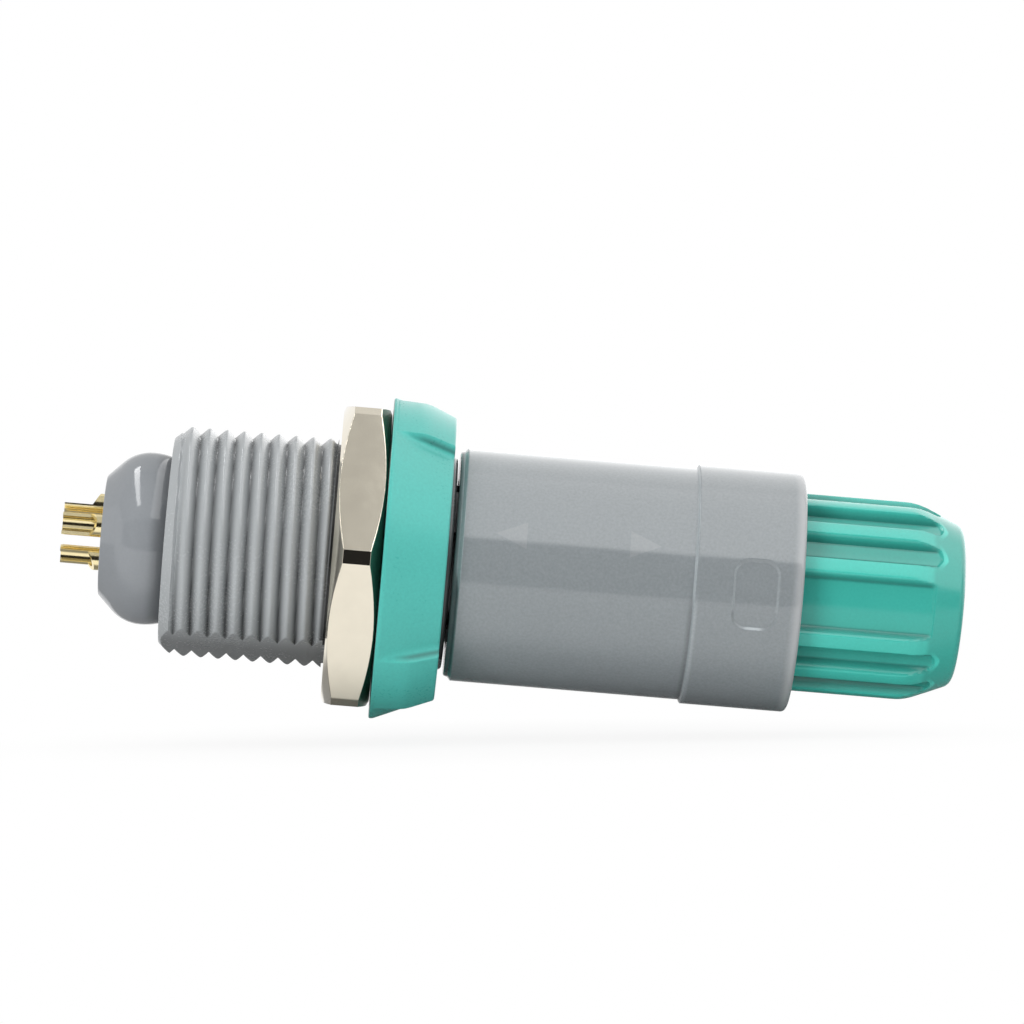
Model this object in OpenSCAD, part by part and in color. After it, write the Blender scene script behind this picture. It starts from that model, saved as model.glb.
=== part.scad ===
// Mated push-pull circular connector: panel receptacle and cable plug.
// The connector's axis is X. The solder cups point to -X and the cable entry to +X.
// The origin is on the axis, where the front ring's rear face seats on the panel.

/* [Panel thread] */
// Major diameter of the panel thread
thread_d = 13.86; // [13.6:0.02:15]
// Distance between thread crests
thread_pitch = 1; // [0.75:0.05:1.5]
// Radial depth of the thread
thread_depth = 0.5; // [0.3:0.05:0.6]
// Length of the shell behind the panel seat
thread_len = 13.1; // [11.5:0.1:20]

/* [Receptacle nose] */
// Diameter of the plain nose
nose_d = 12.96; // [12.4:0.02:13.1]
// Distance from the panel seat to the nose's mouth
nose_len = 4.15; // [4:0.05:6]
// Depth of the front insulator's face below the mouth
insert_recess = 3.95; // [3.5:0.05:4.6]

/* [Front ring] */
// Outer diameter of the front ring
ring_d = 19.56; // [18.6:0.02:24]
// Thickness of the front ring
ring_t = 3.85; // [3:0.05:4]
// Diameter of the ring's cone at its front face
ring_front_d = 16.5; // [15:0.05:17.4]
// Diameter of the lugs at the front face
lug_front_d = 17.84; // [17.5:0.02:18.4]
// Length of the straight rim in front of the panel seat
ring_land = 0.25; // [0.15:0.05:1]
// Length of the straight part of a lug
lug_land = 1.9; // [1.2:0.05:2.6]
// Number of lugs
lug_count = 3; // [2:1:6]
// Width of a lug, in degrees
lug_angle = 29; // [16:1:40]

/* [Hexagon nut] */
// Width across the flats
nut_af = 18; // [17:0.1:22]
// Diameter that the corners are turned down to
nut_corner_d = 20.3; // [19.8:0.05:24]
// Diameter of the nut's flat faces inside the chamfers
nut_face_d = 17.5; // [16.5:0.05:18]
// Thickness of the nut
nut_t = 2.94; // [2:0.02:4]
// Gap between the nut and the front ring
nut_gap = 0.06; // [0.04:0.02:4]
// Slope of the turned corner chamfers, in degrees
nut_chamfer_angle = 25; // [15:1:30]

/* [Rear boss] */
// Diameter of the rear boss
boss_d = 10.5; // [10:0.05:12]
// Length of the rear boss
boss_len = 3.9; // [3.5:0.05:6]
// Distance from the shell to the thickest place of the boss
boss_crown = 1.2; // [0.8:0.05:1.3]
// Radial drop from the thickest place to the shell
boss_waist = 0.18; // [0.1:0.02:0.3]
// Radius of the shoulder's bend
boss_bend_r = 2.6; // [1.5:0.05:2.8]
// Slope of the boss's shoulder, in degrees
boss_slope = 45; // [35:1:50]
// Radius of the boss's rear edge
boss_edge_r = 0.2; // [0.1:0.05:0.3]

/* [Contacts] */
// Number of contacts
contact_count = 5; // [3:1:5]
// Diameter of the circle the contacts stand on
contact_circle_d = 3.6; // [3.4:0.05:4.2]
// Outer diameter of a solder cup
cup_d = 1.4; // [1.2:0.02:1.5]
// Wall of a solder cup
cup_wall = 0.22; // [0.12:0.02:0.3]
// Length of a solder cup outside the boss
cup_len = 2.45; // [2:0.05:5]
// Length of the open half of a solder cup
cup_open_len = 1.7; // [1:0.05:2]
// Diameter of a pin
pin_d = 0.9; // [0.6:0.02:1]
// Length of a pin inside its socket
pin_reach = 4.8; // [3:0.1:5.4]
// Length of a pin's solder cup
pin_cup_len = 4; // [3:0.1:4.5]

/* [Mating parts] */
// Diameter of the front insulator that enters the plug
insert_d = 6.6; // [6.4:0.05:6.9]
// Depth of the space round the front insulator
socket_depth = 11.15; // [10.5:0.05:12.5]
// Wall of the plug's nose tube
nose_wall = 0.5; // [0.4:0.05:0.6]
// Wall of a latch finger
latch_wall = 0.5; // [0.4:0.05:0.6]
// Room behind a latch finger to bend
latch_room = 0.4; // [0.3:0.05:0.5]
// Number of latch fingers
latch_count = 6; // [4:1:8]
// Width of the slits between the fingers
latch_slit = 1.6; // [1.5:0.05:1.9]
// Width of the key on the nose tube
key_w = 1.2; // [0.8:0.05:1.3]

/* [Inside of the receptacle] */
// Length of the lip that holds the front insulator
socket_lip = 1.2; // [0.8:0.05:1.5]
// Thickness of the front insulator's flange
insert_flange_t = 2; // [1.5:0.05:2.5]
// Width of the flange's step
insert_flange_step = 1.4; // [1:0.05:1.5]
// Distance from the mouth to the middle of the latch groove
groove_offset = 7; // [6.5:0.05:7.5]
// Length of the latch groove
groove_len = 1.5; // [1.2:0.05:2]
// Depth of the latch groove
groove_depth = 0.4; // [0.2:0.02:0.45]
// Height of the key over the latch fingers
key_rise = 0.5; // [0.3:0.02:0.6]
// Radial step of a contact's collar
collar_step = 0.15; // [0.1:0.01:0.2]
// Wall of a socket round its pin
socket_wall = 0.17; // [0.12:0.01:0.2]

/* [Inside of the plug] */
// Length of the sleeve's front lip
lip_len = 1.4; // [1:0.05:2]
// Length of the ring that joins the latch fingers
latch_ring_len = 1.6; // [1.2:0.05:2]
// Length of the shoulder that guides the sleeve
guide_len = 6.3; // [5:0.1:7]
// Length of the body's rear thread
body_thread_len = 7; // [6:0.1:8]
// Wall of the body under its rear thread
body_wall = 0.75; // [0.6:0.05:0.9]
// Length of the pin insulator in front of its flange
pin_block_len = 6.5; // [6:0.1:7]
// Thickness of the pin insulator's flange
pin_flange_t = 1.6; // [1.2:0.05:2]
// Depth of a pin's collar below the pin insulator's face
pin_collar_depth = 2.1; // [1.8:0.05:2.6]
// Length of the taper on the cable clamp's jaws
jaw_taper_len = 3.6; // [3:0.1:4]
// Length of the clamp's unslit ring
jaw_root = 1; // [0.8:0.05:1.5]

/* [Gripping sleeve] */
// Outer diameter of the sleeve
sleeve_d = 14.2; // [13.8:0.02:16]
// Outer diameter of the rear band
band_d = 14.66; // [14.3:0.02:17]
// Length of the whole sleeve
sleeve_len = 21; // [19:0.1:26]
// Length of the rear band
band_len = 6.6; // [4:0.1:9]
// Gap between the sleeve and the receptacle's nose
sleeve_gap = 0.15; // [0.1:0.05:1]
// Travel of the sleeve when it is drawn back
release_travel = 1.5; // [1:0.1:2.5]
// Radius of the sleeve's front edge
sleeve_edge_r = 0.5; // [0.2:0.05:0.8]
// Radius of the band's rear edge
band_edge_r = 0.4; // [0.2:0.05:0.7]
// Length of the ramp up to the band
band_ramp = 0.12; // [0.06:0.02:0.3]
// Distance from the middle of the thumb recess to the sleeve's rear face
recess_offset = 2.8; // [2.3:0.05:3]
// Width of the thumb recess along the axis
recess_w = 2.6; // [1.5:0.05:3.5]
// Length of the thumb recess round the band
recess_len = 4.2; // [3:0.05:5]
// Depth of the thumb recess
recess_depth = 0.16; // [0.08:0.02:0.3]

/* [Collet nut] */
// Diameter over the ribs
collet_nut_d = 12.16; // [11.8:0.02:12.5]
// Diameter at the floor between the ribs
floor_d = 10.98; // [10.9:0.02:11.4]
// Length of the nut outside the sleeve
collet_nut_show = 9.95; // [8:0.05:14]
// Length of thread that holds the nut
nut_engagement = 5; // [4:0.1:6]
// Depth of the cable clamp's spigot in the plug's body
spigot_len = 4.5; // [3.5:0.1:5]
// Length of the tapered end
end_taper_len = 2.95; // [2:0.05:4]
// Slope of the tapered end, in degrees
end_slope = 23; // [18:1:26]
// Radius of the end's edge
end_edge_r = 0.7; // [0.2:0.05:0.9]
// Plain length left where a flute runs out, which makes a small step
flute_stop = 0.1; // [0.1:0.05:0.5]
// Diameter of the cable hole
cable_hole_d = 6.6; // [5:0.1:7]
// Thickness of the end wall round the cable hole
end_wall = 2.4; // [1.5:0.1:3]
// Number of rib groups
rib_groups = 3; // [2:1:3]
// Number of ribs in a group
group_ribs = 4; // [2:1:4]
// Angle between the ribs of a group
rib_step = 25; // [20:1:28]
// Width of a rib at its crest
rib_w = 1; // [0.6:0.05:1.2]
// Width that each rib flank adds at the floor
rib_flank = 0.28; // [0.1:0.02:0.35]

/* [Fits] */
// Radial clearance of a turning or sliding fit
run_clear = 0.05; // [0.02:0.01:0.08]
// Radial clearance where the plug enters the receptacle
mate_clear = 0.1; // [0.06:0.01:0.15]
// Radial clearance round the collet nut inside the sleeve
bore_clear = 0.17; // [0.1:0.01:0.3]
// Radial clearance of a pin in its socket
pin_clear = 0.03; // [0.02:0.01:0.05]

/* [Hidden] */
$fn = 96;

// Colours
grey = [0.56, 0.57, 0.6];
boss_grey = [0.52, 0.53, 0.57];
dark_grey = [0.2, 0.21, 0.23];
ring_green = [0.36, 0.75, 0.69];
nut_green = [0.28, 0.71, 0.61];
nickel = [0.8, 0.77, 0.71];
gold = [0.86, 0.68, 0.3];
ivory = [0.86, 0.83, 0.74];

// Clock angles round the axis, counter-clockwise seen from +X, with 0 towards +Y
key_angle = 165;
lug_first_angle = 113;
first_contact_angle = 90;
rib_first_angle = 87;
recess_angle = 182.5;

// How far a cut runs past the piece that it cuts
past = 1;

// How far a rib's foot is sunk into the nut's floor
rib_root = 0.3;

// Receptacle, radii
thread_r = thread_d / 2;
pitch_r = thread_r - thread_depth / 2;
nose_r = nose_d / 2;
insert_r = insert_d / 2;
nose_in_r = insert_r + 2 * mate_clear;
nose_out_r = nose_in_r + nose_wall;
finger_in_r = nose_out_r + latch_room;
finger_out_r = finger_in_r + latch_wall;
socket_r = finger_out_r + mate_clear;
groove_r = socket_r + groove_depth;
key_r = socket_r + key_rise;
keyway_r = key_r + mate_clear;
insert_flange_r = insert_r + insert_flange_step;
rear_bore_r = insert_flange_r + run_clear;

// Receptacle, places along the axis
nut_zone = nut_gap + nut_t + 0.15;
shell_rear = -thread_len;
insert_front = nose_len - insert_recess;
socket_floor = nose_len - socket_depth;
insert_flange_front = socket_floor - socket_lip;
insert_flange_rear = insert_flange_front - insert_flange_t;
boss_rear = shell_rear - boss_len;
groove_mid = nose_len - groove_offset;
groove_half = groove_len / 2;
thread_lead = 0.5;
mouth_chamfer = 0.3;

// Contacts
contact_r = contact_circle_d / 2;
cup_r = cup_d / 2;
cup_bore_r = cup_r - cup_wall;
collar_r = cup_r + collar_step;
pin_r = pin_d / 2;
socket_bore_r = pin_r + pin_clear;
socket_out_r = socket_bore_r + socket_wall;
collar_front = insert_flange_rear + 1;
collar_rear = insert_flange_rear - 1.5;
socket_front = insert_front - 0.4;
pin_tip = insert_front - pin_reach;
socket_end = pin_tip - 0.7;
cup_rear = boss_rear - cup_len;
cup_bore_len = cup_len + 0.5;

// Plug, radii
collet_nut_r = collet_nut_d / 2;
sleeve_r = sleeve_d / 2;
band_r = band_d / 2;
sleeve_bore_r = collet_nut_r + bore_clear;
body_r = sleeve_bore_r - run_clear;
lip_r = socket_r + mate_clear;
latch_ring_r = lip_r + 0.5;
pocket_r = latch_ring_r + 0.15;
carrier_r = nose_in_r + 0.4;
body_in_r = carrier_r + run_clear;
body_thread_r = body_in_r + body_wall;
collet_thread_r = body_thread_r + run_clear;
collet_r = body_thread_r - 0.2;
floor_r = floor_d / 2;
cable_r = cable_hole_d / 2;
jaw_bore_r = cable_r - 0.2;

// Plug, places along the axis
sleeve_front = nose_len + sleeve_gap;
lip_rear = sleeve_front + lip_len;
latch_ring_front = lip_rear + release_travel + 0.1;
shoulder = latch_ring_front + latch_ring_len;
shoulder_rear = shoulder + guide_len;
body_rear = shoulder_rear + body_thread_len;
nose_tip = socket_floor + 0.4;
key_start = nose_tip + 1;
sleeve_rear = sleeve_front + sleeve_len;
band_front = sleeve_rear - band_len;
pin_block_front = insert_front + 0.3;
pin_flange_front = pin_block_front + pin_block_len;
pin_flange_rear = pin_flange_front + pin_flange_t;
pin_collar_front = pin_block_front + pin_collar_depth;
pin_cup_front = pin_flange_rear + 0.9;
pin_rear = pin_cup_front + pin_cup_len;
carrier_rear = body_rear - spigot_len;
jaw_front = body_rear + 0.3;
collet_nut_front = body_rear - nut_engagement;
collet_nut_rear = sleeve_rear + collet_nut_show;
jaw_rear = collet_nut_rear - end_wall - 0.3;
jaw_end_r = collet_r - 0.6;
jaw_clear = 0.1;

// Points of an arc in a profile of [radius, place along the axis]
function arc(centre, r, from, to, steps = 6) =
  [for (i = [0 : steps]) let (a = from + (to - from) * i / steps) centre + r * [cos(a), sin(a)]];

// Turns shapes that are drawn round Z into the connector's axis, X
module on_axis() {
  rotate([90, 0, 90]) children();
}

// A turned piece from its half section of [radius, place along the axis]
module turned(profile) {
  rotate_extrude() polygon(profile);
}

// A straight round hole or pin from one place along the axis to another
module round_bar(r, from, to) {
  translate([0, 0, from]) cylinder(r = r, h = to - from);
}

// Copies a shape onto every place of the contact circle
module at_contact(i) {
  rotate(first_contact_angle - (i - 1) * 360 / contact_count) translate([contact_r, 0, 0]) children();
}

module at_contacts() {
  for (i = [1 : contact_count]) at_contact(i) children();
}

// A flat bar that stands out from the axis at a clock angle
module radial_bar(angle, w, r, from, to) {
  rotate(angle) translate([0, -w / 2, from]) cube([r, w, to - from]);
}

// Half section of the thread's free stretch: one groove after another, ending behind the nut
flank = 0.3 * thread_pitch;
root = 0.2 * thread_pitch;
crest = thread_pitch - root - 2 * flank;
first_groove = shell_rear + thread_lead + crest;
groove_count = floor((-nut_zone - first_groove) / thread_pitch);
thread_grooves = [
  for (k = [0 : groove_count - 1])
    let (z = first_groove + k * thread_pitch)
      each [
        [thread_r, z],
        [thread_r - thread_depth, z + flank],
        [thread_r - thread_depth, z + flank + root],
        [thread_r, z + 2 * flank + root]
      ]
];

// Grey shell. Under the two nuts the thread is drawn as its pitch cylinder.
module receptacle_shell() {
  outside = concat(
    [[thread_r - thread_lead, shell_rear], [thread_r, shell_rear + thread_lead]],
    thread_grooves,
    [[thread_r, -nut_zone], [pitch_r, -nut_zone], [pitch_r, ring_t - 0.9], [nose_r, ring_t - 0.9]],
    [[nose_r, nose_len - mouth_chamfer], [nose_r - mouth_chamfer, nose_len]]
  );
  inside = [
    [socket_r + mouth_chamfer, nose_len],
    [socket_r, nose_len - mouth_chamfer],
    [socket_r, groove_mid + groove_half],
    [groove_r, groove_mid + groove_half - 0.3],
    [groove_r, groove_mid - groove_half + 0.3],
    [socket_r, groove_mid - groove_half],
    [socket_r, socket_floor],
    [insert_r + mate_clear, socket_floor],
    [insert_r + mate_clear, insert_flange_front],
    [rear_bore_r, insert_flange_front],
    [rear_bore_r, shell_rear]
  ];
  color(grey) on_axis() difference() {
    turned(concat(outside, inside));
    difference() {
      radial_bar(key_angle, key_w + 2 * mate_clear, keyway_r, key_start - 0.4, nose_len + past);
      round_bar(socket_r - mouth_chamfer, socket_floor, nose_len + 2 * past);
    }
  }
}

// Green ring with a conical front and raised lugs for a wrench
module ring_nut() {
  bore_r = pitch_r + run_clear;
  ring_r = ring_d / 2;
  over_lugs = [
    [bore_r + mouth_chamfer, 0],
    [ring_r, 0],
    [ring_r, lug_land],
    [lug_front_d / 2, ring_t],
    [bore_r, ring_t],
    [bore_r, mouth_chamfer]
  ];
  cone_rise = (ring_t - ring_land) / (ring_r - ring_front_d / 2);
  off_cone = [
    [ring_r + past, ring_land - past * cone_rise],
    [ring_r + past, ring_t + past * cone_rise],
    [ring_front_d / 2 - past, ring_t + past * cone_rise]
  ];
  lug_step = 360 / lug_count;
  color(ring_green) on_axis() difference() {
    turned(over_lugs);
    for (i = [0 : lug_count - 1])
      rotate(lug_first_angle + lug_angle / 2 + i * lug_step)
        rotate_extrude(angle = lug_step - lug_angle) polygon(off_cone);
  }
}

// Plated nut: a hexagon with turned corners and chamfered thread mouths
module hex_nut() {
  bore_r = pitch_r + run_clear;
  mouth_r = thread_r + 0.1;
  mouth_depth = mouth_r - bore_r;
  corner_r = nut_corner_d / 2;
  face_r = nut_face_d / 2;
  drop = (corner_r - face_r) * tan(nut_chamfer_angle);
  rear = -nut_gap - nut_t;
  front = -nut_gap;
  envelope = [
    [mouth_r, rear],
    [face_r, rear],
    [corner_r, rear + drop],
    [corner_r, front - drop],
    [face_r, front],
    [mouth_r, front],
    [bore_r, front - mouth_depth],
    [bore_r, rear + mouth_depth]
  ];
  color(nickel) on_axis() intersection() {
    turned(envelope);
    translate([0, 0, rear - past]) cylinder(d = nut_af / cos(30), h = nut_t + 2 * past, $fn = 6);
  }
}

// Front insulator: a flange held by the shell's lip and a long block with the socket holes
module socket_insulator() {
  profile = [
    [0, insert_flange_rear],
    [insert_flange_r, insert_flange_rear],
    [insert_flange_r, insert_flange_front],
    [insert_r, insert_flange_front],
    [insert_r, insert_front - mouth_chamfer],
    [insert_r - mouth_chamfer, insert_front],
    [0, insert_front]
  ];
  color(dark_grey) on_axis() difference() {
    turned(profile);
    at_contacts() {
      round_bar(socket_out_r + run_clear, insert_flange_rear - past, insert_front + past);
      round_bar(collar_r + run_clear, insert_flange_rear - past, collar_front);
    }
  }
}

// Glossy rear boss, crowned like a drop: its stem closes the shell and the solder cups pass through it
module rear_insulator() {
  boss_r = boss_d / 2;
  crown = shell_rear - boss_crown;
  waist_r = (boss_crown * boss_crown + boss_waist * boss_waist) / (2 * boss_waist);
  waist = arc([boss_r - waist_r, crown], waist_r, 0, asin(boss_crown / waist_r));
  bend = arc([boss_r - boss_bend_r, crown], boss_bend_r, -boss_slope, 0, 10);
  edge_front = boss_rear + boss_edge_r * (1 - sin(boss_slope));
  slope_len = bend[0][1] - edge_front;
  slope_end = bend[0] - [slope_len * tan(boss_slope), slope_len];
  edge_centre = slope_end - boss_edge_r * [cos(boss_slope), -sin(boss_slope)];
  profile = concat(
    [[0, insert_flange_rear], [0, boss_rear]],
    arc(edge_centre, boss_edge_r, -90, -boss_slope),
    bend,
    [for (i = [1 : len(waist) - 1]) waist[i]],
    [[insert_flange_r, shell_rear], [insert_flange_r, insert_flange_rear]]
  );
  color(boss_grey) on_axis() difference() {
    turned(profile);
    at_contacts() {
      round_bar(cup_r + run_clear, boss_rear - past, insert_flange_rear + past);
      round_bar(collar_r + run_clear, collar_rear, insert_flange_rear + past);
    }
  }
}

// The outer half of a solder cup's end is cut away along a slant. The cup's mouth is at Z = 0, opening to -Z.
module cup_cut() {
  slant = cup_d * 0.6;
  rotate([90, 0, 0]) translate([0, 0, -cup_d])
    linear_extrude(2 * cup_d)
      polygon([[0, -past], [cup_d, -past], [cup_d, cup_open_len + slant], [0, cup_open_len]]);
}

// Gold contact with a slit socket in front, a collar, and a solder cup behind
module socket_contact(i) {
  profile = [
    [0, cup_rear],
    [cup_r, cup_rear],
    [cup_r, collar_rear],
    [collar_r, collar_rear],
    [collar_r, collar_front],
    [socket_out_r, collar_front],
    [socket_out_r, socket_front],
    [socket_bore_r, socket_front],
    [socket_bore_r, socket_end],
    [0, socket_end - 0.3]
  ];
  slit_w = 0.15;
  slit_len = 3;
  color(gold) on_axis() at_contact(i) difference() {
    turned(profile);
    round_bar(cup_bore_r, cup_rear - past, cup_rear + cup_bore_len);
    translate([0, 0, cup_rear]) cup_cut();
    translate([-cup_d, -slit_w / 2, socket_front - slit_len]) cube([2 * cup_d, slit_w, slit_len + past]);
  }
}

// Inner body of the plug: keyed nose tube, guide shoulder and rear thread
module plug_body() {
  tip_chamfer = 0.2;
  profile = [
    [nose_in_r, nose_tip],
    [nose_out_r - tip_chamfer, nose_tip],
    [nose_out_r, nose_tip + tip_chamfer],
    [nose_out_r, shoulder],
    [body_r, shoulder],
    [body_r, shoulder_rear],
    [body_thread_r, shoulder_rear],
    [body_thread_r, body_rear],
    [body_in_r, body_rear],
    [body_in_r, pin_flange_front],
    [nose_in_r, pin_flange_front]
  ];
  color(grey) on_axis() {
    turned(profile);
    difference() {
      radial_bar(key_angle, key_w, key_r, key_start, nose_len - 0.8);
      round_bar(nose_out_r - 0.2, nose_tip, nose_len);
    }
  }
}

// Slit sleeve round the nose tube: a ring behind and latch fingers in front
module latch_sleeve() {
  hook_rear = groove_mid - groove_half + 0.05;
  hook_front = groove_mid + groove_half - 0.05;
  hook_r = finger_out_r + 0.5 * mate_clear;
  profile = [
    [finger_in_r, hook_rear],
    [finger_out_r - 0.2, hook_rear],
    [hook_r, hook_rear + 0.5],
    [hook_r, hook_front],
    [finger_out_r - 0.1, hook_front],
    [finger_out_r - 0.1, latch_ring_front],
    [latch_ring_r, latch_ring_front],
    [latch_ring_r, shoulder],
    [nose_out_r + run_clear, shoulder],
    [nose_out_r + run_clear, latch_ring_front],
    [finger_in_r, latch_ring_front]
  ];
  slit_step = 360 / latch_count;
  slit_rear = latch_ring_front - 0.6;
  color(grey) on_axis() difference() {
    turned(profile);
    for (k = [0 : latch_count - 1])
      radial_bar(key_angle + k * slit_step, latch_slit, 2 * socket_r, nose_tip, slit_rear);
  }
}

// Gripping sleeve: front lip, sliding bore, wider rear band with a thumb recess
module outer_sleeve() {
  profile = concat(
    [[lip_r, sleeve_front]],
    arc([sleeve_r - sleeve_edge_r, sleeve_front + sleeve_edge_r], sleeve_edge_r, -90, 0),
    [[sleeve_r, band_front], [band_r, band_front + band_ramp]],
    arc([band_r - band_edge_r, sleeve_rear - band_edge_r], band_edge_r, 0, 90),
    [
      [sleeve_bore_r, sleeve_rear],
      [sleeve_bore_r, latch_ring_front],
      [pocket_r, latch_ring_front],
      [pocket_r, lip_rear],
      [lip_r, lip_rear]
    ]
  );
  recess_mid = sleeve_rear - recess_offset;
  color(grey) on_axis() difference() {
    turned(profile);
    difference() {
      rotate(recess_angle) translate([0, 0, recess_mid]) rotate([0, 90, 0]) linear_extrude(band_d) {
        square([recess_w, recess_len - recess_w], center = true);
        for (side = [-1, 1])
          translate([0, side * (recess_len - recess_w) / 2]) circle(d = recess_w);
      }
      round_bar(band_r - recess_depth, band_front - past, sleeve_rear + past);
    }
  }
}

// Insulator that carries the pins, with a flange against the body's inner step
module pin_insulator() {
  profile = [
    [0, pin_block_front],
    [nose_in_r - run_clear, pin_block_front],
    [nose_in_r - run_clear, pin_flange_front],
    [carrier_r, pin_flange_front],
    [carrier_r, pin_flange_rear],
    [0, pin_flange_rear]
  ];
  color(dark_grey) on_axis() difference() {
    turned(profile);
    at_contacts() {
      round_bar(pin_r + run_clear, pin_block_front - past, pin_flange_rear + past);
      round_bar(collar_r + run_clear, pin_collar_front, pin_flange_rear + past);
    }
  }
}

// Half shell behind the pin insulator, with a floor ring that bears on the flange
module carrier_half(turn) {
  split = 0.1;
  profile = [
    [carrier_r - 0.9, pin_flange_rear],
    [carrier_r, pin_flange_rear],
    [carrier_r, carrier_rear],
    [carrier_r - 1.2, carrier_rear],
    [carrier_r - 1.2, carrier_rear - 1],
    [carrier_r - 0.6, carrier_rear - 1.6],
    [carrier_r - 0.6, pin_flange_rear + 1.4],
    [carrier_r - 0.9, pin_flange_rear + 1.4]
  ];
  color(ivory) on_axis() rotate(turn) difference() {
    turned(profile);
    translate([-2 * carrier_r, split - 4 * carrier_r, pin_flange_rear - past])
      cube([4 * carrier_r, 4 * carrier_r, carrier_rear - pin_flange_rear + 2 * past]);
  }
}

module carrier_half_upper() {
  carrier_half(0);
}

module carrier_half_lower() {
  carrier_half(180);
}

// Gold pin with a rounded tip, a collar, and a solder cup behind
module pin_contact(i) {
  profile = [
    [0, pin_tip],
    [pin_r * 0.5, pin_tip + 0.1],
    [pin_r, pin_tip + 0.5],
    [pin_r, pin_collar_front],
    [collar_r, pin_collar_front],
    [collar_r, pin_flange_rear],
    [cup_r, pin_flange_rear],
    [cup_r, pin_rear],
    [0, pin_rear]
  ];
  color(gold) on_axis() at_contact(i) difference() {
    turned(profile);
    round_bar(cup_bore_r, pin_cup_front, pin_rear + past);
    translate([0, 0, pin_rear]) mirror([0, 0, 1]) cup_cut();
  }
}

// Slit cable clamp: a spigot in the body's bore and four jaws inside the nut's taper
module collet() {
  slit_w = 0.8;
  slit_start = jaw_front + jaw_root;
  profile = [
    [jaw_bore_r, carrier_rear],
    [carrier_r, carrier_rear],
    [carrier_r, jaw_front],
    [collet_r, jaw_front],
    [collet_r, jaw_rear - jaw_taper_len],
    [jaw_end_r, jaw_rear],
    [jaw_bore_r, jaw_rear]
  ];
  color(ivory) on_axis() difference() {
    turned(profile);
    for (turn = [45, 135])
      rotate(turn) translate([-2 * collet_r, -slit_w / 2, slit_start])
        cube([4 * collet_r, slit_w, jaw_rear]);
  }
}

// Ribbed outline of the collet nut, in groups of ribs with a plain stretch between them
module ribbed_outline() {
  crest_r = collet_nut_r + 2 * past;
  root_r = floor_r - rib_root;
  circle(r = floor_r);
  for (g = [0 : rib_groups - 1])
    for (k = [0 : group_ribs - 1])
      rotate(rib_first_angle + g * 360 / rib_groups + k * rib_step)
        polygon([
          [root_r, -rib_w / 2 - rib_flank],
          [crest_r, -rib_w / 2],
          [crest_r, rib_w / 2],
          [root_r, rib_w / 2 + rib_flank]
        ]);
}

// What is cut away between the ribs, from one place along the axis to another
module flutes(from, to) {
  difference() {
    round_bar(collet_nut_r + past, from, to);
    translate([0, 0, from - past]) linear_extrude(to - from + 2 * past) ribbed_outline();
  }
}

// Green nut: ribbed grip, tapered plain end, inner thread and the taper that closes the jaws
module collet_nut() {
  taper_front = collet_nut_rear - end_taper_len;
  slope = tan(end_slope);
  flute_end = taper_front + (collet_nut_r - floor_r) / slope - flute_stop;
  edge_mid = collet_nut_rear - end_edge_r;
  edge_front = edge_mid + end_edge_r * sin(end_slope);
  edge_front_r = collet_nut_r - slope * (edge_front - taper_front);
  edge_mid_r = edge_front_r - end_edge_r * cos(end_slope);
  outside = concat(
    [[0, collet_nut_front], [collet_nut_r, collet_nut_front], [collet_nut_r, taper_front]],
    arc([edge_mid_r, edge_mid], end_edge_r, end_slope, 90),
    [[0, collet_nut_rear]]
  );
  bore = [
    [0, collet_nut_front - past],
    [collet_thread_r, collet_nut_front - past],
    [collet_thread_r, jaw_front],
    [collet_r + jaw_clear, jaw_front],
    [collet_r + jaw_clear, jaw_rear - jaw_taper_len],
    [jaw_end_r + jaw_clear, jaw_rear],
    [jaw_end_r + jaw_clear, collet_nut_rear - end_wall],
    [cable_r, collet_nut_rear - end_wall],
    [cable_r, collet_nut_rear + past],
    [0, collet_nut_rear + past]
  ];
  color(nut_green) on_axis() difference() {
    turned(outside);
    flutes(collet_nut_front - past, flute_end);
    turned(bore);
  }
}

receptacle_shell();
ring_nut();
hex_nut();
socket_insulator();
rear_insulator();
for (i = [1 : contact_count])
  socket_contact(i);
plug_body();
latch_sleeve();
outer_sleeve();
pin_insulator();
carrier_half_upper();
carrier_half_lower();
for (i = [1 : contact_count])
  pin_contact(i);
collet();
collet_nut();
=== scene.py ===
# %% [markdown]
# # A mated push-pull circular connector
#
# Two halves are plugged together: a panel receptacle on the left, with gold solder cups, a grey threaded
# shell, a plated hexagon nut and a green ring with lugs, and a cable plug on the right, with a grey sliding
# sleeve and a green ribbed nut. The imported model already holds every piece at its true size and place. This
# lesson gives the pieces that show their soft moulded edges, a true screw thread and their finishes.
#
# Nearly every piece came from a lathe or from a turned mould. So each one starts here as a half section
# that is spun round the axis, and a small Geometry Nodes tree then gives every point a new distance from
# the axis. That one idea makes the thread, the lugs, the flats, the ribs and the thumb recess.

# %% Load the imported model
import math

import bmesh
import bpy
from mathutils import Matrix, Vector


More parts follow.
